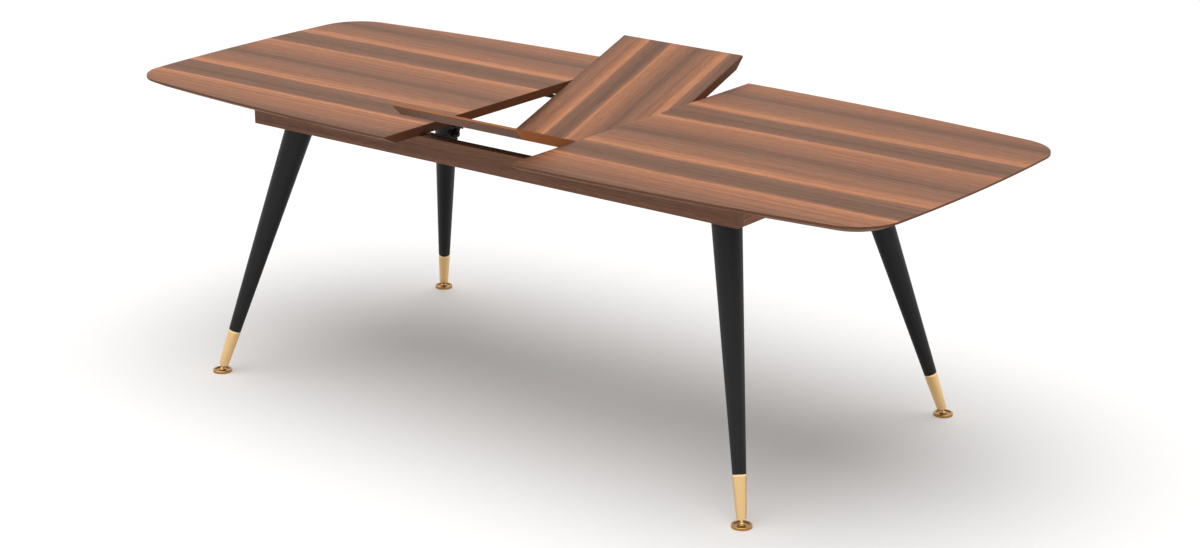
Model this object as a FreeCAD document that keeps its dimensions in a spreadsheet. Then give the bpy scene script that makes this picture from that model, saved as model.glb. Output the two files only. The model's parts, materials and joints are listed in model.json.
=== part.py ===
"""Butterfly leaf dining table, drawn with its two halves pulled apart and its folding leaf half raised.

Millimetres. The origin is on the floor under the middle of the table: X runs along the table, Y across it
and Z up. "Front" is -Y, "back" is +Y, "left" is -X and "right" is +X.
The leaf is two wings hinged to each other on the middle line, and each turns under the middle of its width.
The back wing turns on a rod that sits in eyes. The front wing rests on two short pins, which slide in slots as
the leaf goes up or down. It only hooks over them, so that it can be folded over onto the back wing.
"""
import FreeCAD, Part

import math
import os
import re

import Sketcher
from FreeCAD import Vector

SIZES = {
    # tabletop halves
    "top_height": 750,            # floor to table surface
    "top_thickness": 22,
    "edge_land": 5,               # upright part of the outer edge, above the bevel
    "bevel_reach": 36,            # how far the bevel under the edge runs inwards
    "half_length": 960,           # mating edge to the furthest point of the end
    "half_width": 484,            # middle line to the long side, at the mating edge
    "side_bow_radius": 7100,
    "end_bow_radius": 4800,
    "corner_radius": 120,
    # folding leaf
    "leaf_length": 380,           # along the table, between the halves
    "leaf_clearance": 1.5,        # each side of the leaf while the halves are pulled apart
    "wing_gap": 0.5,              # between the two wings when they lie flat
    "lift_angle": 19.5,           # each wing's tilt when raised
    # rails of the base
    "apron_length": 1500,
    "apron_width": 725,
    "rail_thickness": 22,
    "rail_depth": 58,
    "top_play": 1,                # rails stay this far below the sliding tops
    "cross_rail_place": 345,      # middle of the table to a cross rail's inner face
    # slides
    "slide_drop": 2,              # apron's top edge down to the slide
    "slide_depth": 36,
    "slide_width": 12.7,
    "slide_wall": 1.5,
    "slide_lip": 5,
    "slide_play": 0.4,
    "slide_length": 1430,
    "pull_play": 13,              # how much further a half can be pulled, from bar end to stop
    "bar_setback": 13.5,          # half's mating edge to the end of its bars and runners
    "runner_thickness": 22,
    "runner_depth": 36,
    "runner_clearance": 3,
    "stop_diameter": 10,
    "stop_length": 10,
    # corners and legs
    "block_length": 150,
    "block_width": 130,
    "block_thickness": 18,
    "block_cut": 60,              # sloped inner corner of a corner block
    "plate_thickness": 3,
    "plate_length": 110,
    "plate_width": 90,
    "leg_top_along": 663,         # leg's axis where it meets the rails' lower edge
    "leg_top_across": 283,
    "foot_along": 829,            # leg's axis at the ball of its glide
    "foot_across": 442,
    "leg_top_diameter": 72.5,
    "leg_joint_diameter": 32,
    "joint_height": 113,          # black leg meets brass ferrule, above the floor
    "ferrule_tip_diameter": 24,
    "ferrule_lip": 0.6,           # ferrule stands out this far past the leg
    "ferrule_bevel": 3,           # height of the bevel over the lip
    "spigot_diameter": 18,
    "spigot_length": 50,
    "bolt_diameter": 10,
    "bolt_depth": 60,
    "nut_size": 19,               # across the corners
    "nut_height": 8,
    "nut_recess": 4,
    "nut_clearance": 2,
    # glides
    "ball_height": 6.5,
    "ball_diameter": 10,
    "neck_diameter": 7,
    "neck_reach": 12,             # ball to the ferrule's tip
    "stud_depth": 25,             # neck's length inside the ferrule
    "glide_diameter": 49,
    "glide_height": 7,
    "glide_rim": 5.5,             # width of the rim round the dish
    "dish_depth": 2.5,
    "glide_boss": 19,             # boss in the dish, round the ball's socket
    "boss_height": 8,
    "glide_bevel": 0.8,
    "running_fit": 0.1,           # round clearance of what turns
    "fixed_fit": 0.05,            # round clearance of what is screwed or clamped
    # leaf rod and pins, and what carries them
    "rod_diameter": 10,
    "rod_overhang": 3.5,          # rod's or pin's end past what it passes through
    "ring_wall": 4,               # retaining rings on the rod and the pins
    "ring_thickness": 1.5,
    "ring_play": 0.3,             # ring or pin's head to the plate beside it
    "head_wall": 4,               # pin's head, round its shank
    "head_thickness": 8,
    "pin_inset": 1,               # wing's side to the outer face of the eye or slot plate
    "eye_thickness": 6,
    "eye_wall": 7,
    "side_play": 2.5,             # hanger to eye or slot plate
    "hanger_width": 8,
    "hanger_length": 34,
    "hanger_base": 4,
    "hanger_web": 12,
    "hanger_wall": 4,
    "hook_lead": 2,               # how far each wall of a hook's mouth leans back
    "arm_thickness": 6,
    "arm_depth": 9,
    "arm_drop": 19,               # pivot's axis down to the arm's lower edge
    "flange_thickness": 4,
    "flange_width": 50,
    "flange_depth": 50,
    "slot_play": 0.3,             # all round the front pins in their slots
    # hinges between the wings
    "hinge_length": 50,
    "hinge_spread": 130,          # middle of the leaf to the outer hinges
    "hinge_barrel": 6,
    "hinge_pin": 3,
    "hinge_leaf": 1.5,
    "hinge_height": 17,
    "hinge_clearance": 0.4,
    "knuckle_gap": 0.4,
}

# Places that follow from the sizes. Angles are in degrees.
PLACES = {
    "underside": "top_height - top_thickness",
    "cut_face": "leaf_length/2 + leaf_clearance",
    "rail_top": "underside - top_play",
    "rail_bottom": "rail_top - rail_depth",
    "rail_inner": "apron_width/2 - rail_thickness",
    "end_inner": "apron_length/2 - rail_thickness",
    "slide_inner": "rail_inner - slide_width",
    "slide_top": "rail_top - slide_drop",
    "slide_bottom": "slide_top - slide_depth",
    "bar_outer": "rail_inner - slide_wall - slide_play",
    "bar_shoulder": "slide_inner + slide_wall + slide_play",
    "runner_outer": "slide_inner - slide_play",
    "runner_inner": "runner_outer - runner_thickness",
    "bar_start": "cut_face + bar_setback",
    "bar_end": "end_inner - stop_length - pull_play",
    "block_top": "rail_bottom + block_thickness",
    "leg_top": "rail_bottom - plate_thickness",
    "splay_along": "foot_along - leg_top_along",
    "splay_across": "foot_across - leg_top_across",
    "splay_angle": "atan(sqrt(splay_along^2 + splay_across^2)/(rail_bottom - ball_height))",
    "splay_turn": "atan(splay_across/splay_along)",
    "joint_reach": "(joint_height - ball_height)/cos(splay_angle)",
    "top_reach": "(leg_top - ball_height)/cos(splay_angle)",
    "seat_reach": "(block_top - nut_recess - ball_height)/cos(splay_angle)",
    "leg_excess": "leg_top_diameter*tan(splay_angle)",
    "leg_taper": "(leg_top_diameter - leg_joint_diameter)/(top_reach - joint_reach)",
    "pivot_reach": "half_width/2",
    "pivot_drop": "pivot_reach*tan(lift_angle/2)",
    "pivot_height": "top_height - pivot_drop",
    "slot_travel": "2*pivot_reach*(1/cos(lift_angle/2) - 1)",
    "eye_outer": "leaf_length/2 - pin_inset",
    "eye_inner": "eye_outer - eye_thickness",
    "eye_radius": "rod_diameter/2 + eye_wall",
    "hanger_outer": "eye_inner - side_play",
    "hanger_inner": "hanger_outer - hanger_width",
    "wing_under": "pivot_drop - top_thickness",
}

ALONG_X = "vector(0;1;0);90"      # turns a cylinder's axis from Z to X
CORNERS = (("front_left", -1, -1), ("front_right", 1, -1), ("back_left", -1, 1), ("back_right", 1, 1))
SIDES = (("left", -1), ("right", 1))
TINY = 0.001                      # tolerance when edges are told apart by their place
HINGE_COUNT = 3
KNUCKLES = 5                      # per hinge, shared between its two leaves

doc = FreeCAD.newDocument("ButterflyLeafTable")
sheet = doc.addObject("Spreadsheet::Sheet", "Sizes")
for row, (word, value) in enumerate(SIZES.items(), 1):
    sheet.set("A%d" % row, word)
    sheet.set("B%d" % row, str(value))
    sheet.setAlias("B%d" % row, word)
doc.recompute()

pieces = []


def ex(text):
    """Turn words of SIZES and PLACES into one expression on the sheet's cells."""
    def swap(match):
        word = match.group(0)
        if word in SIZES:
            return "Sizes." + word
        return "(" + ex(PLACES[word]) + ")" if word in PLACES else word
    return re.sub(r"[a-z_]+[a-z]", swap, str(text))


def value_of(text):
    return float(sheet.evalExpression(ex(text)))


def at(x, y, z, turn="0;0;0"):
    """A placement expression from a point and a rotation: yaw;pitch;roll, or an axis and an angle."""
    return "placement(vector(%s;%s;%s);rotation(%s))" % (x, y, z, turn)


def place(item, where):
    item.setExpression("Placement", ex(where))
    return item


def keep(item, label):
    """Name a finished sub-part: its label is the name of its node and file."""
    item.Label = label
    pieces.append(item)
    return item


def span(side, near, far):
    """Lower end and length, along X, of what lies between two distances from the middle."""
    start = near if side > 0 else "-(%s)" % far
    return start, "(%s) - (%s)" % (far, near)


def box(name, size, where):
    item = doc.addObject("Part::Box", name)
    for side, length in zip(("Length", "Width", "Height"), size):
        item.setExpression(side, ex(length))
    return place(item, where)


def cylinder(name, radius, length, where):
    item = doc.addObject("Part::Cylinder", name)
    item.setExpression("Radius", ex(radius))
    item.setExpression("Height", ex(length))
    return place(item, where)


def cone(name, radius, end_radius, length, where):
    item = doc.addObject("Part::Cone", name)
    item.setExpression("Radius1", ex(radius))
    item.setExpression("Radius2", ex(end_radius))
    item.setExpression("Height", ex(length))
    return place(item, where)


def sphere(name, radius, where):
    item = doc.addObject("Part::Sphere", name)
    item.setExpression("Radius", ex(radius))
    return place(item, where)


def cut(name, base, *tools):
    item = doc.addObject("Part::Cut", name)
    item.Base = base
    item.Tool = tools[0] if len(tools) == 1 else fuse(name + "Tools", *tools)
    return item


def fuse(name, *parts):
    item = doc.addObject("Part::MultiFuse", name)
    item.Shapes = list(parts)
    return item


def group(name, parts):
    item = doc.addObject("Part::Compound", name)
    item.Links = list(parts)
    return item


def new_body(name):
    return doc.addObject("PartDesign::Body", name)


def plane(body, role):
    return next(item for item in body.Origin.OriginFeatures if item.Role == role)


def new_sketch(body, name, role, offset="0"):
    sketch = body.newObject("Sketcher::SketchObject", name)
    sketch.AttachmentSupport = (plane(body, role), [""])
    sketch.MapMode = "FlatFace"
    sketch.setExpression("AttachmentOffset.Base.z", ex(offset))
    return sketch


def drive(sketch, kind, places, text):
    """Add a dimension and bind it to the sheet."""
    number = sketch.addConstraint(Sketcher.Constraint(kind, *places, value_of(text)))
    sketch.setExpression("Constraints[%d]" % number, ex(text))


def polygon(body, name, role, points, offset="0"):
    """A closed sketch with a horizontal and an upright dimension on every corner."""
    sketch = new_sketch(body, name, role, offset)
    corners = [Vector(value_of(across), value_of(up), 0) for across, up in points]
    count = len(corners)
    for i in range(count):
        sketch.addGeometry(Part.LineSegment(corners[i], corners[(i + 1) % count]), False)
    for i in range(count):
        sketch.addConstraint(Sketcher.Constraint("Coincident", i, 2, (i + 1) % count, 1))
    for i, (across, up) in enumerate(points):
        drive(sketch, "DistanceX", (-1, 1, i, 1), across)
        drive(sketch, "DistanceY", (-1, 1, i, 1), up)
    return sketch


def circle(body, name, role, centre, radius, offset="0"):
    sketch = new_sketch(body, name, role, offset)
    middle = Vector(value_of(centre[0]), value_of(centre[1]), 0)
    sketch.addGeometry(Part.Circle(middle, Vector(0, 0, 1), value_of(radius)), False)
    drive(sketch, "DistanceX", (-1, 1, 0, 3), centre[0])
    drive(sketch, "DistanceY", (-1, 1, 0, 3), centre[1])
    drive(sketch, "Radius", (0,), radius)
    return sketch


def extrude(body, sketch, length, midplane=False):
    pad = body.newObject("PartDesign::Pad", sketch.Name + "Pad")
    pad.Profile = sketch
    pad.Midplane = midplane
    pad.setExpression("Length", ex(length))
    return pad


def pocket(body, sketch, length):
    """Cut a sketch's area to equal depths on both sides of its plane."""
    hollow = body.newObject("PartDesign::Pocket", sketch.Name + "Pocket")
    hollow.Profile = sketch
    hollow.Midplane = True
    hollow.setExpression("Length", ex(length))
    return hollow


# ---------------------------------------------------------------- tabletop halves

def outline(body):
    """Half of the top: straight mating edge, bowed sides, large round corners and a bowed end."""
    sketch = new_sketch(body, "Outline", "XY_Plane")
    width, length = value_of("half_width"), value_of("half_length")
    side_radius, end_radius = value_of("side_bow_radius"), value_of("end_bow_radius")
    corner_radius = value_of("corner_radius")
    side_centre = Vector(0, width - side_radius, 0)
    end_centre = Vector(length - end_radius, 0, 0)
    # the corner's centre lies a corner radius inside both bows
    between = end_centre - side_centre
    side_reach, end_reach = side_radius - corner_radius, end_radius - corner_radius
    along = (side_reach ** 2 - end_reach ** 2 + between.Length ** 2) / (2 * between.Length)
    across = math.sqrt(side_reach ** 2 - along ** 2)
    unit = between / between.Length
    centre = side_centre + unit * along + Vector(unit.y, -unit.x, 0) * across
    side_touch = centre + (centre - side_centre).normalize() * corner_radius
    end_touch = centre + (centre - end_centre).normalize() * corner_radius

    def mirror(point):
        return Vector(point.x, -point.y, 0)

    def arc(middle, start, end):
        first = math.atan2(start.y - middle.y, start.x - middle.x)
        last = math.atan2(end.y - middle.y, end.x - middle.x)
        ring = Part.Circle(middle, Vector(0, 0, 1), (start - middle).Length)
        return Part.ArcOfCircle(ring, first, last)

    back, front = Vector(0, width, 0), Vector(0, -width, 0)
    for edge in (Part.LineSegment(back, front),
                 arc(mirror(side_centre), front, mirror(side_touch)),
                 arc(mirror(centre), mirror(side_touch), mirror(end_touch)),
                 arc(end_centre, mirror(end_touch), end_touch),
                 arc(centre, end_touch, side_touch),
                 arc(side_centre, side_touch, back)):
        sketch.addGeometry(edge, False)
    mating, front_side, front_corner, end, back_corner, back_side = range(6)
    x_axis, y_axis = -1, -2
    for kind, places in (("Coincident", (mating, 2, front_side, 1)),
                         ("Coincident", (back_side, 2, mating, 1)),
                         ("Tangent", (front_side, 2, front_corner, 1)),
                         ("Tangent", (front_corner, 2, end, 1)),
                         ("Tangent", (end, 2, back_corner, 1)),
                         ("Tangent", (back_corner, 2, back_side, 1)),
                         ("PointOnObject", (mating, 1, y_axis)),
                         ("PointOnObject", (mating, 2, y_axis)),
                         ("PointOnObject", (front_side, 3, y_axis)),
                         ("PointOnObject", (back_side, 3, y_axis)),
                         ("PointOnObject", (end, 3, x_axis))):
        sketch.addConstraint(Sketcher.Constraint(kind, *places))
    drive(sketch, "DistanceY", (-1, 1, mating, 1), "half_width")
    drive(sketch, "DistanceY", (mating, 2, -1, 1), "half_width")
    drive(sketch, "DistanceX", (end, 3, -1, 1), "end_bow_radius - half_length")
    for edges, radius in (((front_side, back_side), "side_bow_radius"),
                          ((front_corner, back_corner), "corner_radius"), ((end,), "end_bow_radius")):
        for edge in edges:
            drive(sketch, "Radius", (edge,), radius)
    return sketch


def top_half(label, side):
    """A panel with a shallow bevel under its curved edge and a square mating edge."""
    body = new_body(label.title().replace("_", ""))
    pad = extrude(body, outline(body), "top_thickness")
    doc.recompute()
    curved = ["Edge%d" % number for number, edge in enumerate(pad.Shape.Edges, 1)
              if edge.BoundBox.ZMax < TINY and edge.BoundBox.XMax > TINY]
    bevel = body.newObject("PartDesign::Chamfer", "Bevel")
    bevel.Base = (pad, curved)
    bevel.ChamferType = "Two distances"
    bevel.setExpression("Size", ex("top_thickness - edge_land"))
    bevel.setExpression("Size2", ex("bevel_reach"))
    place(body, at("%d*(cut_face)" % side, "0", "underside", "0;0;0" if side > 0 else "180;0;0"))
    keep(body, label)


# ---------------------------------------------------------------- base

def rails():
    """Two long aprons with the end rails between them, and two notched cross rails under the runners."""
    for label, side in (("front_apron", -1), ("back_apron", 1)):
        low = "rail_inner" if side > 0 else "-apron_width/2"
        keep(box(label, ("apron_length", "rail_thickness", "rail_depth"),
                 at("-apron_length/2", low, "rail_bottom")), label)
    for name, side in SIDES:
        label = name + "_end_rail"
        start, length = span(side, "end_inner", "apron_length/2")
        keep(box(label, (length, "2*rail_inner", "rail_depth"),
                 at(start, "-rail_inner", "rail_bottom")), label)
        label = name + "_cross_rail"
        body = new_body(label)
        start, length = span(side, "cross_rail_place", "cross_rail_place + rail_thickness")
        step, notch = "runner_inner - runner_clearance", "slide_bottom - top_play"
        section = [("-rail_inner", "rail_bottom"), ("rail_inner", "rail_bottom"), ("rail_inner", notch),
                   (step, notch), (step, "rail_top"), ("-(%s)" % step, "rail_top"),
                   ("-(%s)" % step, notch), ("-rail_inner", notch)]
        extrude(body, polygon(body, label + "_section", "YZ_Plane", section, start), length)
        keep(body, label)


def leg_frame(x_side, y_side, reach="0"):
    """A point on a leg's axis, a reach above its ball, with Z turned along the leg."""
    yaw = "%ddeg + %d*splay_turn" % (180 if x_side > 0 else 0, x_side * y_side)
    inwards = "(%s)*sin(splay_angle)" % reach
    return at("%d*(foot_along - %s*cos(splay_turn))" % (x_side, inwards),
              "%d*(foot_across - %s*sin(splay_turn))" % (y_side, inwards),
              "ball_height + (%s)*cos(splay_angle)" % reach, yaw + ";splay_angle;0")


def corner_block(corner, x_side, y_side):
    """Glued into the corner of the rails: carries the leg's plate and bolt."""
    body = new_body("BlockBody_" + corner)
    outer_x, outer_y = "end_inner", "rail_inner"
    inner_x, inner_y = "end_inner - block_length", "rail_inner - block_width"
    shape = [(outer_x, outer_y), (inner_x, outer_y), (inner_x, inner_y + " + block_cut"),
             (inner_x + " + block_cut", inner_y), (outer_x, inner_y)]
    points = [("%d*(%s)" % (x_side, x), "%d*(%s)" % (y_side, y)) for x, y in shape]
    sketch = polygon(body, "BlockOutline_" + corner, "XY_Plane", points, "rail_bottom")
    extrude(body, sketch, "block_thickness")
    hole = cylinder("BlockHole_" + corner, "bolt_diameter/2 + fixed_fit", "seat_reach",
                    leg_frame(x_side, y_side))
    recess = cylinder("BlockRecess_" + corner, "nut_size/2 + nut_clearance", "block_thickness",
                      leg_frame(x_side, y_side, "seat_reach"))
    keep(cut("Block_" + corner, body, hole, recess), "corner_block_" + corner)


def leg_plate(corner, x_side, y_side):
    """Flat steel plate between the leg's top and the corner block."""
    blank = box("PlateBlank_" + corner, ("plate_length", "plate_width", "plate_thickness"),
                at("%d*leg_top_along - plate_length/2" % x_side,
                   "%d*leg_top_across - plate_width/2" % y_side, "leg_top"))
    hole = cylinder("PlateHole_" + corner, "bolt_diameter/2 + fixed_fit", "seat_reach",
                    leg_frame(x_side, y_side))
    return cut("Plate_" + corner, blank, hole)


def leg(corner, x_side, y_side):
    """Round tapered leg, cut level at its top, with a spigot for the ferrule and a hole for the bolt."""
    length = "top_reach - joint_reach + leg_excess"
    shaft = cone("LegShaft_" + corner, "leg_joint_diameter/2",
                 "leg_joint_diameter/2 + leg_taper*(%s)/2" % length, length, at("0", "0", "joint_reach"))
    spigot = cylinder("LegSpigot_" + corner, "spigot_diameter/2", "spigot_length + fixed_fit",
                      at("0", "0", "joint_reach - spigot_length"))
    level = cylinder("LegLevel_" + corner, "leg_top_diameter", "2*leg_excess",
                     at("0", "0", "top_reach", "vector(0;1;0);-splay_angle"))
    hole = cylinder("LegHole_" + corner, "bolt_diameter/2 + fixed_fit", "bolt_depth + leg_excess",
                    at("0", "0", "top_reach - bolt_depth"))
    item = cut("Leg_" + corner, fuse("LegBlank_" + corner, shaft, spigot), level, hole)
    keep(place(item, leg_frame(x_side, y_side)), "leg_" + corner)


def leg_bolt(corner, x_side, y_side):
    """Stud up the leg's axis, through plate and block, and its nut."""
    stud = cylinder("Stud_" + corner, "bolt_diameter/2", "seat_reach - top_reach + bolt_depth + nut_height",
                    leg_frame(x_side, y_side, "top_reach - bolt_depth"))
    blank = doc.addObject("Part::Prism", "NutBlank_" + corner)
    blank.Polygon = 6
    blank.setExpression("Circumradius", ex("nut_size/2"))
    blank.setExpression("Height", ex("nut_height"))
    place(blank, leg_frame(x_side, y_side, "seat_reach"))
    thread = cylinder("NutHole_" + corner, "bolt_diameter/2 + fixed_fit", "nut_height",
                      leg_frame(x_side, y_side, "seat_reach"))
    return stud, cut("Nut_" + corner, blank, thread)


def ferrule(corner, x_side, y_side):
    """Tapered brass shoe with a bevelled lip, bored for the leg's spigot and for the glide's neck."""
    lip = "leg_joint_diameter/2 + ferrule_lip"
    shoe = cone("FerruleShoe_" + corner, "ferrule_tip_diameter/2", lip,
                "joint_reach - ferrule_bevel - neck_reach", at("0", "0", "neck_reach"))
    bevel = cone("FerruleBevel_" + corner, lip, "leg_joint_diameter/2", "ferrule_bevel",
                 at("0", "0", "joint_reach - ferrule_bevel"))
    socket = cylinder("FerruleSocket_" + corner, "spigot_diameter/2 + fixed_fit", "spigot_length",
                      at("0", "0", "joint_reach - spigot_length"))
    neck = cylinder("FerruleNeck_" + corner, "neck_diameter/2 + fixed_fit", "stud_depth",
                    at("0", "0", "neck_reach"))
    item = cut("Ferrule_" + corner, fuse("FerruleBlank_" + corner, shoe, bevel), socket, neck)
    keep(place(item, leg_frame(x_side, y_side)), "ferrule_" + corner)


def glide_stud(corner, x_side, y_side):
    """Ball and neck that the glide swivels on."""
    ball = sphere("Ball_" + corner, "ball_diameter/2", at("0", "0", "0"))
    neck = cylinder("Neck_" + corner, "neck_diameter/2", "neck_reach + stud_depth", at("0", "0", "0"))
    return place(fuse("GlideStud_" + corner, ball, neck), leg_frame(x_side, y_side))


def glide_disc(corner, x_side, y_side):
    """Turned brass foot: a rim round a dish, and in its middle a boss with the ball's socket."""
    body = new_body("GlideBody_" + corner)
    outer, top, bevel = "glide_diameter/2", "glide_height - ball_height", "glide_bevel"
    dish, boss = top + " - dish_depth", "boss_height - ball_height"
    profile = [("0", "-ball_height"), (outer, "-ball_height"), (outer, "%s - %s" % (top, bevel)),
               ("%s - %s" % (outer, bevel), top), (outer + " - glide_rim", top),
               (outer + " - glide_rim", dish), ("glide_boss/2", dish),
               ("glide_boss/2", "%s - %s" % (boss, bevel)), ("glide_boss/2 - " + bevel, boss), ("0", boss)]
    sketch = polygon(body, "GlideProfile_" + corner, "XZ_Plane", profile)
    turned = body.newObject("PartDesign::Revolution", "GlideTurned_" + corner)
    turned.Profile = sketch
    turned.ReferenceAxis = (sketch, ["V_Axis"])
    turned.Angle = 360
    socket = sphere("Socket_" + corner, "ball_diameter/2 + running_fit", at("0", "0", "0"))
    item = cut("Glide_" + corner, body, socket)
    place(item, at("%d*foot_along" % x_side, "%d*foot_across" % y_side, "ball_height"))
    keep(item, "glide_disc_" + corner)


# ---------------------------------------------------------------- slides

def slides(name, y_side):
    """One channel on an apron's inner face; in it one bar for each half, with the half's wooden runner."""
    low, high = "slide_bottom", "slide_top"
    lip, wall = "slide_lip", "slide_wall"
    channel = [("rail_inner", low), ("slide_inner", low), ("slide_inner", "slide_bottom + slide_lip"),
               ("slide_inner + slide_wall", "slide_bottom + slide_lip"),
               ("slide_inner + slide_wall", "slide_bottom + slide_wall"),
               ("rail_inner - slide_wall", "slide_bottom + slide_wall"),
               ("rail_inner - slide_wall", "slide_top - slide_wall"),
               ("slide_inner + slide_wall", "slide_top - slide_wall"),
               ("slide_inner + slide_wall", "slide_top - slide_lip"),
               ("slide_inner", "slide_top - slide_lip"), ("slide_inner", high), ("rail_inner", high)]
    bar = [("bar_outer", "%s + %s + slide_play" % (low, wall)),
           ("bar_shoulder", "%s + %s + slide_play" % (low, wall)),
           ("bar_shoulder", "%s + %s + slide_play" % (low, lip)),
           ("runner_outer", "%s + %s + slide_play" % (low, lip)),
           ("runner_outer", "%s - %s - slide_play" % (high, lip)),
           ("bar_shoulder", "%s - %s - slide_play" % (high, lip)),
           ("bar_shoulder", "%s - %s - slide_play" % (high, wall)),
           ("bar_outer", "%s - %s - slide_play" % (high, wall))]

    def section(points):
        return [("%d*(%s)" % (y_side, across), up) for across, up in points]

    label = name + "_slide_channel"
    body = new_body(label)
    extrude(body, polygon(body, label + "_section", "YZ_Plane", section(channel)), "slide_length", True)
    keep(body, label)
    for side_name, x_side in SIDES:
        start, length = span(x_side, "bar_start", "bar_end")
        label = "%s_slide_bar_%s" % (side_name, name)
        body = new_body(label)
        extrude(body, polygon(body, label + "_section", "YZ_Plane", section(bar), start), length)
        keep(body, label)
        label = "%s_runner_%s" % (side_name, name)
        low_y = "runner_inner" if y_side > 0 else "-runner_outer"
        keep(box(label, (length, "runner_thickness", "runner_depth"),
                 at(start, low_y, "underside - runner_depth")), label)


def slide_stops():
    """Rubber stops on the end rails, in line with the bars."""
    stops = []
    for corner, x_side, y_side in CORNERS:
        start, length = span(x_side, "end_inner - stop_length", "end_inner")
        stops.append(cylinder("Stop_" + corner, "stop_diameter/2", length,
                              at(start, "%d*(rail_inner - slide_width/2)" % y_side,
                                 "slide_top - slide_depth/2", ALONG_X)))
    keep(group("SlideStops", stops), "slide_stops")


# ---------------------------------------------------------------- folding leaf

def wing_frame(y_side):
    """A raised wing's own frame, with its origin on its rod's axis."""
    return at("0", "%d*pivot_reach" % y_side, "pivot_height", "vector(1;0;0);%d*lift_angle" % y_side)


def wing(label, y_side):
    """Half of the leaf: square where it mates, bevelled on its outer end, with grooves for the hinges."""
    body = new_body(label + "_body")

    def flip(points):
        return [("%d*(%s)" % (y_side, across), up) for across, up in points]

    section = flip([("wing_gap/2 - pivot_reach", "wing_under"),
                    ("half_width - pivot_reach - bevel_reach", "wing_under"),
                    ("half_width - pivot_reach", "pivot_drop - edge_land"),
                    ("half_width - pivot_reach", "pivot_drop"),
                    ("wing_gap/2 - pivot_reach", "pivot_drop")])
    extrude(body, polygon(body, label + "_section", "YZ_Plane", section), "leaf_length", True)
    depth = "pivot_drop - hinge_height - hinge_clearance"
    wall = "wing_gap/2 - pivot_reach + hinge_leaf + fixed_fit"
    mortise = flip([("-pivot_reach", depth), (wall, depth), (wall, "pivot_drop + top_play"),
                    ("-pivot_reach", "pivot_drop + top_play")])
    length = "hinge_length + 2*hinge_clearance"
    cuts = [pocket(body, polygon(body, label + "_mortise", "YZ_Plane", mortise, "-hinge_spread"), length),
            pocket(body, circle(body, label + "_groove", "YZ_Plane",
                                ("%d*(-pivot_reach)" % y_side, "pivot_drop"),
                                "hinge_barrel/2 + hinge_clearance", "-hinge_spread"), length)]
    row = body.newObject("PartDesign::LinearPattern", label + "_hinge_row")
    row.Originals = cuts
    row.Direction = (plane(body, "X_Axis"), [""])
    row.setExpression("Length", ex("2*hinge_spread"))
    row.Occurrences = HINGE_COUNT
    body.Tip = row
    place(body, wing_frame(y_side))
    keep(body, label)


def hangers(label, y_side, hooked):
    """Two blocks under a wing that its rod passes through, or two hooks that it lifts off its pins."""
    bore = cylinder(label + "_bore", "rod_diameter/2 + running_fit", "2*hanger_outer",
                    at("-hanger_outer", "0", "0", ALONG_X))
    tools = [bore]
    if hooked:
        # the mouth points along the hook's way round the hinge
        body = new_body(label + "_mouth")
        seat, lip, depth = "rod_diameter/2 + running_fit", "rod_diameter/2 + hook_lead", "-2*rod_diameter"
        mouth = [("-(%s)" % seat, "0"), ("-(%s)" % lip, depth), (lip, depth), (seat, "0")]
        extrude(body, polygon(body, label + "_mouth_section", "YZ_Plane", mouth), "2*hanger_outer", True)
        tools.append(place(body, at("0", "0", "0", "vector(1;0;0);%d*lift_angle/2" % -y_side)))
    parts = []
    for name, x_side in SIDES:
        start, length = span(x_side, "hanger_inner", "hanger_outer")
        base = box("%s_base_%s" % (label, name), (length, "hanger_length", "hanger_base"),
                   at(start, "-hanger_length/2", "wing_under - hanger_base"))
        web = box("%s_web_%s" % (label, name), (length, "hanger_web", "wing_under"),
                  at(start, "-hanger_web/2", "0"))
        boss = cylinder("%s_boss_%s" % (label, name), "rod_diameter/2 + hanger_wall", length,
                        at(start, "0", "0", ALONG_X))
        parts.append(cut("%s_%s" % (label, name),
                         fuse("%s_blank_%s" % (label, name), base, web, boss), *tools))
    keep(place(group(label + "_pair", parts), wing_frame(y_side)), label)


def pivot(name, x_side, y_side, radius, near, far):
    """A round piece on a wing's pivot axis, between two distances from the middle of the table."""
    start, length = span(x_side, near, far)
    return cylinder(name, radius, length, at(start, "%d*pivot_reach" % y_side, "pivot_height", ALONG_X))


def retaining_ring(name, x_side, y_side, near):
    far = near + " + ring_thickness"
    blank = pivot(name + "_blank", x_side, y_side, "rod_diameter/2 + ring_wall", near, far)
    hole = pivot(name + "_hole", x_side, y_side, "rod_diameter/2 + fixed_fit", near, far)
    return cut(name, blank, hole)


def back_rod():
    """One rod through both eyes and both hangers, with a ring outside each eye."""
    parts = [pivot("BackRod", 1, 1, "rod_diameter/2", "-(eye_outer + rod_overhang)",
                   "eye_outer + rod_overhang")]
    for name, x_side in SIDES:
        parts.append(retaining_ring("BackRing_" + name, x_side, 1, "eye_outer + ring_play"))
    keep(group("BackPivot", parts), "back_pivot_rod")


def front_pins():
    """A short headed pin in each slot, held by a ring, with its inner end under the front wing's hook."""
    parts = []
    seat, ring = "eye_outer + ring_play", "eye_inner - ring_play - ring_thickness"
    for name, x_side in SIDES:
        shank = pivot("Shank_" + name, x_side, -1, "rod_diameter/2", "hanger_inner - rod_overhang", seat)
        head = pivot("Head_" + name, x_side, -1, "rod_diameter/2 + head_wall",
                     seat, seat + " + head_thickness")
        parts.append(fuse("FrontPin_" + name, shank, head))
        parts.append(retaining_ring("FrontRing_" + name, x_side, -1, ring))
    keep(group("FrontPivot", parts), "front_pivot_rod")


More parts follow.
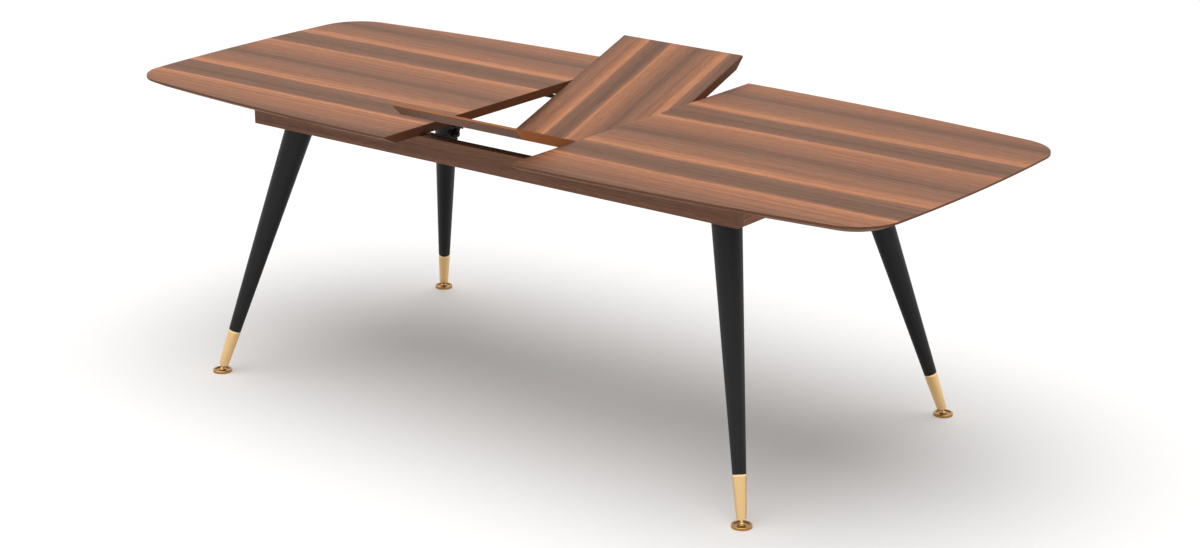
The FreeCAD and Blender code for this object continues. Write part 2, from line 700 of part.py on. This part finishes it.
def arm(label, x_side, y_side, end_plate):
    """Steel arm from a cross rail's flange to the plate that carries the rod's end or a pin."""
    body = new_body(label)

    def section(points):
        return [("%d*(pivot_reach + (%s))" % (y_side, across), "pivot_height + (%s)" % up)
                for across, up in points]

    def rectangle(half, low, high):
        return section([("-(%s)" % half, low), (half, low), (half, high), ("-(%s)" % half, high)])

    steps = (("plate", section(end_plate), "eye_inner", "eye_outer"),
             ("arm", rectangle("arm_thickness/2", "-arm_drop", "arm_depth - arm_drop"),
              "eye_outer", "cross_rail_place - flange_thickness"),
             ("flange", rectangle("flange_width/2", "-(flange_depth/2 + rod_diameter)",
                                  "flange_depth/2 - rod_diameter"),
              "cross_rail_place - flange_thickness", "cross_rail_place"))
    for step, points, near, far in steps:
        start, length = span(x_side, near, far)
        extrude(body, polygon(body, "%s_%s" % (label, step), "YZ_Plane", points, start), length)
    return body


def leaf_arms():
    """Eyes hold the back rod still; in their slots the front pins slide outwards and back."""
    for name, x_side in SIDES:
        middle = "%d*(eye_inner + eye_thickness/2)" % x_side
        for kind, y_side, travel, fit in (("eye", 1, "0", "fixed_fit"),
                                          ("slot", -1, "slot_travel", "slot_play")):
            label = "%s_%s_arm" % (name, kind)
            edge = "eye_radius + " + travel
            plate = [("-eye_radius", "-arm_drop"), (edge, "-arm_drop"), (edge, "eye_radius/2"),
                     (edge + " - eye_radius/2", "eye_radius"), ("-eye_radius/2", "eye_radius"),
                     ("-eye_radius", "eye_radius/2")]
            body = arm(label, x_side, y_side, plate)
            radius = "rod_diameter/2 + " + fit
            near, far = "%d*pivot_reach" % y_side, "%d*(pivot_reach + %s)" % (y_side, travel)
            pocket(body, circle(body, label + "_hole", "YZ_Plane", (near, "pivot_height"), radius, middle),
                   "eye_thickness")
            if kind == "slot":
                pocket(body, circle(body, label + "_end", "YZ_Plane", (far, "pivot_height"), radius, middle),
                       "eye_thickness")
                low, high = "pivot_height - (%s)" % radius, "pivot_height + (%s)" % radius
                slot = [(near, low), (far, low), (far, high), (near, high)]
                pocket(body, polygon(body, label + "_slot", "YZ_Plane", slot, middle), "eye_thickness")
            keep(body, label)


def hinge_places():
    for number in range(HINGE_COUNT):
        yield number, "%d*hinge_spread" % (number - HINGE_COUNT // 2)


def hinge_leaves(label, y_side, first):
    """Leaf plates in the mating edge; each carries every second knuckle, with its axis at the surface."""
    parts = []
    pitch = "hinge_length/%d" % KNUCKLES
    near = "wing_gap/2 - pivot_reach"
    low_y = near if y_side > 0 else "-(%s) - hinge_leaf" % near
    axis_y = "%d*(-pivot_reach)" % y_side
    for number, middle in hinge_places():
        start = "%s - hinge_length/2" % middle
        shoulder = "hinge_barrel/2 + hinge_clearance"
        shapes = [box("%s_plate_%d" % (label, number),
                      ("hinge_length", "hinge_leaf", "hinge_height - (%s)" % shoulder),
                      at(start, low_y, "pivot_drop - hinge_height"))]
        for knuckle in range(first, KNUCKLES, 2):
            place_x = "%s + %d*%s + knuckle_gap/2" % (start, knuckle, pitch)
            length = "%s - knuckle_gap" % pitch
            name = "%s_%d_%d" % (label, number, knuckle)
            shapes.append(box(name + "_tab", (length, "hinge_leaf", shoulder),
                              at(place_x, low_y, "pivot_drop - (%s)" % shoulder)))
            shapes.append(cylinder(name + "_barrel", "hinge_barrel/2", length,
                                   at(place_x, axis_y, "pivot_drop", ALONG_X)))
        bore = cylinder("%s_bore_%d" % (label, number), "hinge_pin/2 + running_fit", "hinge_length",
                        at(start, axis_y, "pivot_drop", ALONG_X))
        parts.append(cut("%s_cut_%d" % (label, number),
                         fuse("%s_blank_%d" % (label, number), *shapes), bore))
    keep(place(group(label + "_set", parts), wing_frame(y_side)), label)


def hinge_pins():
    pins = [cylinder("HingePin_%d" % number, "hinge_pin/2", "hinge_length",
                     at("%s - hinge_length/2" % middle, "-pivot_reach", "pivot_drop", ALONG_X))
            for number, middle in hinge_places()]
    keep(place(group("HingePins", pins), wing_frame(1)), "hinge_pins")


# ---------------------------------------------------------------- the table

for side_word, side_sign in SIDES:
    top_half(side_word + "_top", side_sign)
rails()
plates, bolts, studs = [], [], []
for corner_name, x_sign, y_sign in CORNERS:
    corner_block(corner_name, x_sign, y_sign)
    plates.append(leg_plate(corner_name, x_sign, y_sign))
    leg(corner_name, x_sign, y_sign)
    bolts.extend(leg_bolt(corner_name, x_sign, y_sign))
    ferrule(corner_name, x_sign, y_sign)
    studs.append(glide_stud(corner_name, x_sign, y_sign))
    glide_disc(corner_name, x_sign, y_sign)
keep(group("LegPlates", plates), "leg_plates")
keep(group("LegBolts", bolts), "leg_bolts")
keep(group("GlideStuds", studs), "glide_studs")
slides("front", -1)
slides("back", 1)
slide_stops()
for side_word, side_sign in (("back", 1), ("front", -1)):
    wing(side_word + "_wing", side_sign)
    hangers(side_word + "_wing_hangers", side_sign, side_word == "front")
    hinge_leaves(side_word + "_hinge_leaves", side_sign, 0 if side_sign > 0 else 1)
back_rod()
front_pins()
hinge_pins()
leaf_arms()

doc.recompute()
for item in doc.Objects:
    if "Invalid" in item.State or "Error" in item.State:
        raise RuntimeError("%s did not build: %s" % (item.Name, item.State))
for item in pieces:
    if item.Shape.isNull() or not item.Shape.isValid() or not item.Shape.Solids:
        raise RuntimeError("%s has no valid solid" % item.Label)

os.makedirs("parts", exist_ok=True)
for item in pieces:
    item.Shape.exportStep("parts/%s.step" % item.Label)
print("%d sub-parts, %d solids" % (len(pieces), sum(len(item.Shape.Solids) for item in pieces)))
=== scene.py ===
# %% [markdown]
# # Butterfly leaf table
# A dining table whose two half tops slide apart to show a leaf that folds up like a butterfly's
# wings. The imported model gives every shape, so nothing is modelled here. This script gives the
# shapes their finishes: walnut veneer, black lacquer, brass and steel, in a white studio.

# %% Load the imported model
import json
import math

import bpy
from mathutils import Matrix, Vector


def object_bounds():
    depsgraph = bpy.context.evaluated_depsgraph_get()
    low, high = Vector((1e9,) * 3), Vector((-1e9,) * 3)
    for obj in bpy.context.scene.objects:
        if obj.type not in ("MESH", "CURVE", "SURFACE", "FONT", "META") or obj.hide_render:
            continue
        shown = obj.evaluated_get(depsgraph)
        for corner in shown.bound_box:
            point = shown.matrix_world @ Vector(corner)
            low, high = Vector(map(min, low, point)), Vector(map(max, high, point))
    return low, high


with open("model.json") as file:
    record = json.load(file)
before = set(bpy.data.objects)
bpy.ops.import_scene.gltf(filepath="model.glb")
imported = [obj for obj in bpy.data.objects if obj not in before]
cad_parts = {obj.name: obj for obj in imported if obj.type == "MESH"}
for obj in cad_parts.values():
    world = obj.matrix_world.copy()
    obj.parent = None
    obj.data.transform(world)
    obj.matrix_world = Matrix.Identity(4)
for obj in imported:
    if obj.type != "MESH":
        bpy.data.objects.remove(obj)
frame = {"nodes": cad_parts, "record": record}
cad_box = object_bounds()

MM = 0.001           # the model is in metres, and sizes below are in millimetres
nodes = frame["nodes"]
record = frame["record"]
joints = {joint["name"]: joint for joint in record["behaviour"]["joints"]}
print("CAD box, m:", [[round(c, 4) for c in corner] for corner in cad_box])

# %% [markdown]
# ## Colours
# A hex code is how a maker names a colour, but a shader adds light, so it needs linear values. One
# function turns the first into the second, and every colour in this lesson goes through it.

# %% From hex code to linear colour
WHITE = (1.0, 1.0, 1.0, 1.0)


def colour(code):
    """An sRGB hex code as a linear colour with full alpha."""
    parts = [int(code[i:i + 2], 16) / 255 for i in (1, 3, 5)]
    return [p / 12.92 if p <= 0.04045 else ((p + 0.055) / 1.055) ** 2.4 for p in parts] + [1.0]


def grey(level):
    """A plain grey that multiplies another colour."""
    return (level, level, level, 1.0)


# %% [markdown]
# ## Nodes
# A material is a small graph. Adding a node, setting it up and linking it are always the same three
# steps, so one function does them. An input that is a socket is linked, and any other is written as
# a value.

# %% Add a node, start a material
def add(tree, kind, inputs=None, stops=None, **settings):
    """Add one shader node: its settings, the values or links of its inputs, and a ramp's stops."""
    node = tree.nodes.new("ShaderNode" + kind)
    for name, value in settings.items():
        setattr(node, name, value)
    for key, value in (inputs or {}).items():
        if isinstance(value, bpy.types.NodeSocket):
            tree.links.new(value, node.inputs[key])
        else:
            node.inputs[key].default_value = value
    if stops:
        elements = node.color_ramp.elements
        while len(elements) < len(stops):
            elements.new(1.0)
        for element, (position, value) in zip(elements, stops):
            element.position = position
        for element, (position, value) in zip(elements, stops):
            element.color = value
    return node


def new_material(name):
    """A material with one Principled shader: returns the material, its tree and the shader."""
    material = bpy.data.materials.new(name)
    material.use_nodes = True
    tree = material.node_tree
    tree.nodes.clear()
    shader = add(tree, "BsdfPrincipled")
    add(tree, "OutputMaterial", {"Surface": shader.outputs[0]})
    return material, tree, shader


def chosen(tree, where, base, other):
    """One colour, and another where the mask is one."""
    return add(tree, "Mix", {0: where, 6: base, 7: other}, data_type="RGBA").outputs[2]


# %% [markdown]
# ## Patterns
# What the eye reads as wood, lacquer or metal is mostly fine variation at the right size. Blender's
# noise has features about one unit wide, so dividing by the real size in millimetres gives each
# pattern its scale, and a long size in one direction stretches it into grain.

# %% Noise of a real size, and what it does to a colour
def pattern(tree, place, sizes, detail, seed):
    """Noise from 0 to 1, whose features are so many millimetres along X, Y and Z. The seed is a
    place in the noise, so that two patterns don't fall together."""
    scale = [1 / (size * MM) for size in sizes]
    stretched = add(tree, "Mapping", {"Vector": place, "Location": seed, "Scale": scale}).outputs[0]
    return add(tree, "TexNoise",
               {"Vector": stretched, "Scale": 1.0, "Detail": detail}).outputs["Fac"]


def shade(tree, base, factor, dark, light, low=0.3, high=0.7):
    """Multiply a colour by a grey that goes from dark to light with the factor."""
    veil = add(tree, "ValToRGB", {"Fac": factor}, stops=[(low, grey(dark)), (high, grey(light))])
    return add(tree, "Mix", {0: 1.0, 6: base, 7: veil.outputs[0]}, data_type="RGBA",
               blend_type="MULTIPLY").outputs[2]


def surface(tree, shader, base, sheen, relief, height, strength):
    """Link the shader: its colour, its roughness between two values, and relief of a height in
    millimetres. sheen is the roughness's factor, lowest and highest value."""
    factor, smooth, rough = sheen
    tree.links.new(base, shader.inputs["Base Color"])
    roughness = add(tree, "MapRange", {"Value": factor, "To Min": smooth, "To Max": rough})
    tree.links.new(roughness.outputs[0], shader.inputs["Roughness"])
    bump = add(tree, "Bump", {"Height": relief, "Strength": strength, "Distance": height * MM})
    tree.links.new(bump.outputs[0], shader.inputs["Normal"])


# %% [markdown]
# ## Walnut veneer: the figure
# Walnut is sliced into leaves of veneer, and neighbouring leaves from one log are laid side by side
# in the same order, which is called slip matching. So the same figure comes back at every leaf: a
# sharp joint, a band of grey-brown heartwood, a narrow orange streak of sapwood, a fade to brown
# with a dark streak, and orange again. An image could hold it, but one leaf's figure and its width
# are enough, and they suit any panel.

# %% Tones of walnut and the figure of one leaf
TONES = {
    "deep": "#75533f",           # darkest heart streak
    "heart": "#855d47",          # grey-brown heartwood
    "brown": "#90654d",
    "warm": "#a06c4f",
    "tan": "#b07756",
    "sap": "#cb885f",            # pale orange sapwood
    "end rail with painted light": "#9d694f",       # a lighter tone on the rails at the ends: painted light, as on the lit right end
    "under": "#7d5a48",          # plain veneer on bevels and undersides
    "lipping": "#774e36",        # strip glued to upright edges, in a tone darkened with painted shade
    "lipping with painted light": "#c07c4c",   # the same strip, lighter: painted light on the front wing's lit edges
}
FIGURE = [                       # share of a leaf's width from its joint, and the tone there
    (0.0, "brown"), (0.05, "heart"), (0.15, "deep"), (0.25, "heart"), (0.28, "sap"),
    (0.32, "tan"), (0.45, "warm"), (0.58, "heart"), (0.63, "deep"), (0.7, "brown"),
    (0.87, "warm"), (0.97, "sap"), (1.0, "tan"),
]
TOP_LEAF = -420      # width of a leaf on the half tops in millimetres, laid from back to front
TOP_JOINT = 210      # a joint between two of them, behind the table's middle line
WING_LEAF = 250      # narrower leaves on the wings, laid across the table
WING_JOINT = -100    # a joint between two of those, from the table's middle
depth_of_table = cad_box[1][1] - cad_box[0][1]
print("veneer leaves from back to front:", round(depth_of_table / (abs(TOP_LEAF) * MM), 1))

# %% [markdown]
# ## Walnut veneer: the grain
# Real grain is never straight, so the figure is pushed to and fro by slow noise before it is looked
# up. Finer layers then darken and lighten it, each with its own size along and across the grain.
# Pores are really a tenth of a millimetre wide, and are drawn coarser so that they show.

# %% Layers of grain
# sizes along the grain, across it and through the panel in millimetres, swing in millimetres, seed
SWAYS = [((800, 300, 300), 24, (3.1, 7.7, 1.3)),
         ((170, 45, 45), 8, (1.7, 2.9, 0.4))]
# the same sizes, how much finer noise is added, seed
GRAIN = {
    "threads": ((420, 2.6, 2.6), 2.0, (7.4, 0.6, 3.8)),
    "fibres": ((60, 1.0, 1.0), 2.0, (2.2, 8.1, 6.6)),
    "streaks": ((900, 9, 9), 3.0, (5.2, 1.9, 4.4)),
    "lines": ((700, 1.9, 1.9), 1.0, (9.3, 4.7, 0.9)),
    "pores": ((26, 2.2, 2.2), 2.0, (6.1, 3.3, 8.8)),
}
LIPPING = ((90, 90, 1.2), 2.0, (4.1, 6.3, 2.7))     # its grain runs along the edge, in thin layers


def laid_veneer(tree, place, leaf, joint, sway):
    """The figure, slip matched across the panel and swaying along it."""
    across = add(tree, "SeparateXYZ", {0: place}).outputs["Y"]
    for sizes, swing, seed in SWAYS:
        reach = swing * sway * MM
        offset = add(tree, "MapRange", {"Value": pattern(tree, place, sizes, 1.0, seed),
                                        "To Min": -reach, "To Max": reach})
        across = add(tree, "Math", {0: across, 1: offset.outputs[0]}, operation="ADD").outputs[0]
    from_joint = add(tree, "Math", {0: across, 1: joint * MM}, operation="SUBTRACT").outputs[0]
    leaves = add(tree, "Math", {0: from_joint, 1: leaf * MM}, operation="DIVIDE").outputs[0]
    share = add(tree, "Math", {0: leaves}, operation="FRACT").outputs[0]
    stops = [(position, colour(TONES[tone])) for position, tone in FIGURE]
    return add(tree, "ValToRGB", {"Fac": share}, stops=stops).outputs[0]


# %% [markdown]
# ## Walnut veneer: the material
# The veneer is sanded and sprayed with satin lacquer, which fills most of the grain: the eye gets a
# soft sheen that breaks up along the fibres, and hardly any relief. A panel shows three things, and
# its own normal tells them apart. What faces up has the figure, what stands upright is an edge with
# its glued strip of lipping, and what faces down is plain veneer.

# %% Walnut
UPRIGHT = 0.5        # a face is an edge where its normal points less than this up or down
SATIN = (0.49, 0.61)             # roughness of the lacquer, smoothest and roughest
PLASTIC_GLOSS = 0.5              # reflection of bare plastic, which Blender takes for granted
LACQUER_GLOSS = 0.2              # lacquer over open grain reflects less
TOP_GLOSS = 0.12                 # and the sanded tops less still


def walnut(name, turn, leaf=None, joint=0, sway=1.0, depth=1.0, tone="heart", lipping="lipping",
           gloss=LACQUER_GLOSS):
    """Veneered walnut. turn is the rotation in degrees that brings the grain along X. With a leaf
    width the veneer is figured and its edges are lipped; without one it has a single tone all over.
    sway is the share of the widest swing, and depth is how strong the streaks are."""
    material, tree, shader = new_material(name)
    coords = add(tree, "TexCoord").outputs
    rotation = [math.radians(a) for a in turn]
    place = add(tree, "Mapping", {"Vector": coords["Object"], "Rotation": rotation}).outputs[0]
    facing = add(tree, "Mapping", {"Vector": coords["Normal"], "Rotation": rotation},
                 vector_type="NORMAL").outputs[0]
    rise = add(tree, "SeparateXYZ", {0: facing}).outputs["Z"]

    base = colour(TONES[tone])
    if leaf:
        below = add(tree, "Math", {0: rise, 1: -UPRIGHT}, operation="LESS_THAN").outputs[0]
        figured = laid_veneer(tree, place, leaf, joint, sway)
        base = chosen(tree, below, figured, colour(TONES["under"]))
    layer = {part: pattern(tree, place, *values) for part, values in GRAIN.items()}
    base = shade(tree, base, layer["streaks"], 1.0 - 0.22 * depth, 1.0 + 0.10 * depth)
    base = shade(tree, base, layer["threads"], 1.0 - 0.18 * depth, 1.0 + 0.05 * depth, 0.28, 0.6)
    base = shade(tree, base, layer["fibres"], 0.89, 1.09)
    base = shade(tree, base, layer["lines"], 1.0, 0.74, 0.60, 0.68)     # few and dark
    base = shade(tree, base, layer["pores"], 0.88, 1.15, 0.35, 0.65)
    # the strip's tone is painted shade on most edges and painted light on the front wing's
    if leaf:
        strip = shade(tree, colour(TONES[lipping]), pattern(tree, place, *LIPPING), 0.82, 1.1)
        tilt = add(tree, "Math", {0: rise}, operation="ABSOLUTE").outputs[0]
        edge = add(tree, "Math", {0: tilt, 1: UPRIGHT}, operation="LESS_THAN").outputs[0]
        base = chosen(tree, edge, base, strip)
    relief = add(tree, "Math", {0: layer["fibres"], 1: layer["threads"]}, operation="ADD")
    surface(tree, shader, base, (layer["fibres"], *SATIN), relief.outputs[0], 0.1, 0.25)
    shader.inputs["Specular IOR Level"].default_value = gloss
    return material


# %% [markdown]
# ## Lacquer, powder coat, zinc, rubber and bare wood
# These are even finishes, and what gives them away is their sheen and a faint mottle. Black lacquer
# on turned wood is matt, powder coat has the texture of orange peel, zinc is bright with a drawn
# grain, and rubber is dull. One function covers them all, because only sizes and values differ.

# %% Even finishes
def even(name, code, roughness, metallic=0.0, gloss=PLASTIC_GLOSS, grain=(6.0, 6.0, 6.0),
         variation=0.06, height=0.02):
    """A finish with a fine mottle. grain is its size along X, Y and Z, and height that of its
    relief, both in millimetres."""
    material, tree, shader = new_material(name)
    place = add(tree, "TexCoord").outputs["Object"]
    mottle = pattern(tree, place, grain, 3.0, (0.0, 0.0, 0.0))
    base = shade(tree, colour(code), mottle, 1.0 - variation, 1.0 + variation)
    surface(tree, shader, base, (mottle, roughness - 0.05, roughness + 0.05), mottle, height, 0.3)
    shader.inputs["Metallic"].default_value = metallic
    shader.inputs["Specular IOR Level"].default_value = gloss
    return material


# %% [markdown]
# ## Brass: where a foot is
# Shoes and glides are turned on a lathe, which leaves fine rings round the axis of each piece. The
# rings need that axis, and the model knows it: a glide tilts about the centre of its ball, and the
# points of a shoe lie evenly round the leg's axis. All four feet mirror one another, so one of
# them, folded over, serves for all.

# %% The ball of a glide and the axis of a leg
ball = Vector(joints["glide tilt back right"]["pos_m"])
shoe = nodes["ferrule_back_right"]
points = [shoe.matrix_world @ v.co for v in shoe.data.vertices]
centre = sum(points, Vector()) / len(points)
leg_axis = (centre - ball).normalized()
shoe_top = max((p - ball).dot(leg_axis) for p in points)
print("ball of the glide, m:", [round(c, 4) for c in ball])
print("leg axis:", [round(c, 4) for c in leg_axis])
print("shoe ends, mm up the leg:", round(shoe_top / MM, 1))

# %% [markdown]
# ## Brass: the material
# Brass is a copper and zinc alloy with a warm yellow reflection and, being a metal, no colour of
# its own under it. Satin turning keeps it from mirroring the room. The rim of a shoe gets a lighter
# colour, which is a painted highlight. The tool marks are really finer than they are drawn.

# %% Turned brass
SHOE_HIGHLIGHT_BAND = 4.2            # height of the painted highlight at a shoe's rim, in millimetres
TOOL_MARK = 0.6      # spacing of the tool marks in millimetres
PAINTED_RIM_HIGHLIGHT = "#ffdfa6"             # colour of the painted highlight on a shoe's rim


def turned_brass(name, code, on_glide=False):
    """Satin brass with tool marks along the leg's axis, or in rings round the glide's."""
    material, tree, shader = new_material(name)
    place = add(tree, "TexCoord").outputs["Object"]
    folded = add(tree, "VectorMath", {0: place}, operation="ABSOLUTE").outputs[0]
    local = add(tree, "VectorMath", {0: folded, 1: ball}, operation="SUBTRACT").outputs[0]
    base = colour(code)
    if on_glide:
        level = add(tree, "VectorMath", {0: local, 1: (1, 1, 0)}, operation="MULTIPLY").outputs[0]
        reach = add(tree, "VectorMath", {0: level}, operation="LENGTH").outputs["Value"]
    else:
        along = add(tree, "VectorMath", {0: local, 1: leg_axis}, operation="DOT_PRODUCT")
        reach = along.outputs["Value"]
        # a lighter band at the top of a shoe: painted highlight
        rim_highlight = add(tree, "Math", {0: reach, 1: shoe_top - SHOE_HIGHLIGHT_BAND * MM}, operation="GREATER_THAN")
        base = chosen(tree, rim_highlight.outputs[0], base, colour(PAINTED_RIM_HIGHLIGHT))
    line = add(tree, "CombineXYZ", {"X": reach}).outputs[0]
    marks = add(tree, "TexNoise", {"Vector": line, "Scale": 1 / (TOOL_MARK * MM),
                                   "Detail": 2.0}).outputs["Fac"]
    base = shade(tree, base, marks, 0.93, 1.0)
    surface(tree, shader, base, (marks, 0.24, 0.34), marks, 0.03, 0.2)
    shader.inputs["Metallic"].default_value = 1.0
    return material


# %% [markdown]
# ## Finishes on the model's pieces
# The record says which finish each piece has. Where one slot covers two directions of grain, as on
# the two wings, the piece's own name comes first. The wings stand tilted, so their grain is turned
# by that tilt, which is how far the leaf's lift can lower them.

# %% Make the finishes
wing_tilt = -joints["leaf lift"]["range_deg"][0]
print("tilt of a raised wing, degrees:", wing_tilt)
ALONG, ACROSS = 0, 90            # turn about Z that suits grain along or across the table
wing_veneer = {"leaf": WING_LEAF, "joint": WING_JOINT, "sway": 0.3, "depth": 0.6}
finishes = {
    "top_wood": walnut("satin walnut, grain along the table", (0, 0, ALONG), TOP_LEAF, TOP_JOINT,
                       sway=0.6, gloss=TOP_GLOSS),
    "back_wing": walnut("satin walnut, back wing", (-wing_tilt, 0, ACROSS), **wing_veneer),
    # the front wing's edges get the lighter strip, which is painted light
    "front_wing": walnut("satin walnut, front wing", (wing_tilt, 0, ACROSS),
                         lipping="lipping with painted light", **wing_veneer),
    "apron_wood": walnut("satin dark walnut, grain along the table", (0, 0, ALONG)),
    # the rails at the ends take a lighter tone, which is painted light
    "end_rail_wood": walnut("satin walnut, grain across the table", (0, 0, ACROSS),
                            tone="end rail with painted light"),
    "inner_wood": even("sanded beech", "#b98f63", 0.6, grain=(40.0, 3.0, 3.0), variation=0.1),
    "leg_lacquer": even("matt black lacquer on turned wood", "#1e1e1f", 0.5, gloss=0.25,
                        variation=0.1),
    "brass": turned_brass("satin turned brass, shoes", "#e9c48b"),
    # the glides' brass is darker than the shoes' brass: painted shade, down at the floor
    "glide": turned_brass("satin turned brass with painted shade, glides", "#b38b53", on_glide=True),
    "hinge_brass": even("darkened brass hinge leaf", "#5a3f2a", 0.4, 1.0),
    "black_steel": even("black powder coat on steel", "#1b1b1c", 0.55, gloss=0.3,
                        grain=(1.0, 1.0, 1.0), height=0.05),
    "bright_steel": even("bright zinc on steel", "#b9bcc0", 0.32, 1.0, grain=(30.0, 1.0, 1.0)),
    "rubber": even("black rubber", "#1b1b1b", 0.8),
}

# %% Put them on
slots = {part["node"]: part["material_slot"] for part in record["subparts"]}
for name, piece in nodes.items():
    key = "glide" if name.startswith("glide_disc") else name if name in finishes else slots[name]
    piece.data.materials.clear()
    piece.data.materials.append(finishes[key])
print("dressed nodes:", len(nodes))

# %% [markdown]
# ## Camera
# A long lens from far off keeps the sides of the table nearly parallel, as in a catalogue. It looks
# down from above the front right corner, so that the open leaf and the gap in front of it both
# show.

# %% Camera
LENS = 78.66                     # focal length in millimetres
SENSOR = 36.0                    # width of the picture's sensor in millimetres
CAMERA_PLACE = (3.9128, -4.9440, 2.3844)
CAMERA_DOWN = 18.13              # how far the camera looks down, in degrees
CAMERA_ROUND = 37.77             # how far it stands round to the right of the front, in degrees
camera_data = bpy.data.cameras.new("camera")
camera_data.lens = LENS
camera_data.sensor_width = SENSOR
camera = bpy.data.objects.new("camera", camera_data)
camera.location = CAMERA_PLACE
camera.rotation_euler = (math.radians(90 - CAMERA_DOWN), 0.0, math.radians(CAMERA_ROUND))
bpy.context.scene.collection.objects.link(camera)
bpy.context.scene.camera = camera

# %% [markdown]
# ## Studio: the floor
# The floor has to look white and still keep the table's shadow. More light would do it and would
# bleach the wood too. Instead the floor is pale, and a little light is added to it for the camera
# and for reflections alone, which never reaches the table.

# %% Floor
FLOOR_SIZE = 60.0    # in metres, so that its edge is far out of sight
FLOOR_LIFT = 0.185   # light added for the camera and reflections


def seen(tree):
    """One for what the camera sees, straight or in a reflection."""
    path = add(tree, "LightPath")
    return add(tree, "Math", {0: path.outputs["Is Camera Ray"], 1: path.outputs["Is Glossy Ray"]},
               operation="MAXIMUM").outputs[0]


bpy.ops.mesh.primitive_plane_add(size=FLOOR_SIZE)
floor = bpy.context.object
floor.name = "studio_floor"
material, tree, shader = new_material("white studio floor")
shader.inputs["Base Color"].default_value = colour("#f2f1f0")
shader.inputs["Roughness"].default_value = 0.9
shader.inputs["Specular IOR Level"].default_value = 0.0
lift = add(tree, "Math", {0: seen(tree), 1: FLOOR_LIFT}, operation="MULTIPLY").outputs[0]
glow = add(tree, "Emission", {"Color": WHITE, "Strength": lift})
lifted = add(tree, "AddShader", {0: shader.outputs[0], 1: glow.outputs[0]})
tree.links.new(lifted.outputs[0], tree.nodes["Material Output"].inputs["Surface"])
floor.data.materials.append(material)

# %% [markdown]
# ## Studio: the light
# One very large soft light overhead gathers the shadow under the table and lets it fade out to all
# sides. A sun lamp with a wide angle does this, because it lights every place alike. Faint light
# from all round keeps the sides of the rails from going black. Together they come to one, so a
# level surface renders in the colour that it was given.

# %% Lights
AMBIENT = 0.26       # light from all round
OVERHEAD = 0.74      # light from the softbox on a level surface
SOFTBOX_WIDTH = 72   # how much of the sky the softbox fills, in degrees
SOFTBOX_LEAN = (4, -3, 0)        # its turn about X, Y and Z in degrees
world = bpy.data.worlds.new("studio")
bpy.context.scene.world = world
world.use_nodes = True
tree = world.node_tree
tree.nodes.clear()
soft = add(tree, "Background", {"Color": WHITE, "Strength": AMBIENT})
white = add(tree, "Background", {"Color": WHITE, "Strength": 1.0})
mix = add(tree, "MixShader", {0: seen(tree), 1: soft.outputs[0], 2: white.outputs[0]})
add(tree, "OutputWorld", {"Surface": mix.outputs[0]})

lamp_data = bpy.data.lights.new("overhead softbox", "SUN")
lamp_data.angle = math.radians(SOFTBOX_WIDTH)
lamp_data.energy = OVERHEAD * math.pi
lamp = bpy.data.objects.new("overhead softbox", lamp_data)
lamp.rotation_euler = [math.radians(a) for a in SOFTBOX_LEAN]
bpy.context.scene.collection.objects.link(lamp)
print("light on a level surface:", AMBIENT + OVERHEAD)

# %% [markdown]
# ## View
# The Standard view shows each colour as it was written.

# %% Finish
bpy.context.scene.view_settings.view_transform = "Standard"
